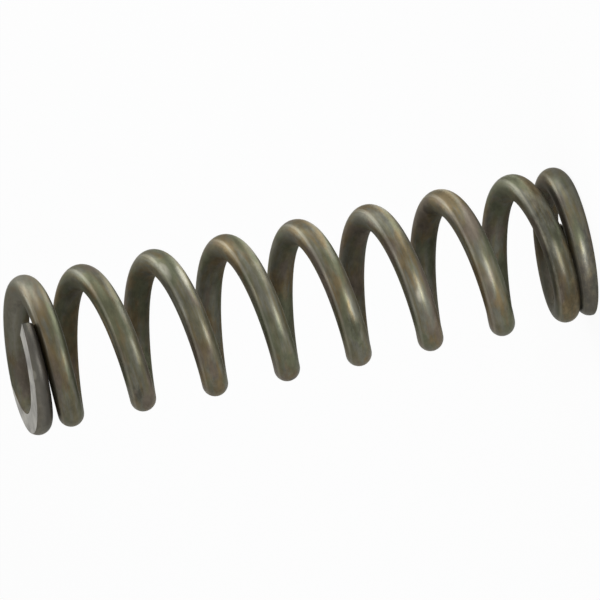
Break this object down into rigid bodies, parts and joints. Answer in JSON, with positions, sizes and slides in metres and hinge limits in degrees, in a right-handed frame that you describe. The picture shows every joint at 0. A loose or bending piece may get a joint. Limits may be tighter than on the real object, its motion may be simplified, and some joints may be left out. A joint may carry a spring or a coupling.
{
  "type": "gear shift spring",
  "caption": "Right-hand helical compression spring of round steel wire, with closed and ground ends and an open coil between them, for a gear shift detent or selector.",
  "frame": {"origin": "centre of the coil at its lower ground end, which it stands on", "axes": "+Z along the axis of the coil from the lower end to the upper one; the lower tip of the wire lies 74 degrees from +X towards +Y, and the coil rises right-handed about +Z"},
  "size_m": [0.0098, 0.0098, 0.0355],
  "materials": {
    "spring_wire": "drawn and tempered wire with a thin oil film, satin"
  },
  "bodies": {
    "root": {"coil_spring": "spring_wire"}
  },
  "joints": []
}
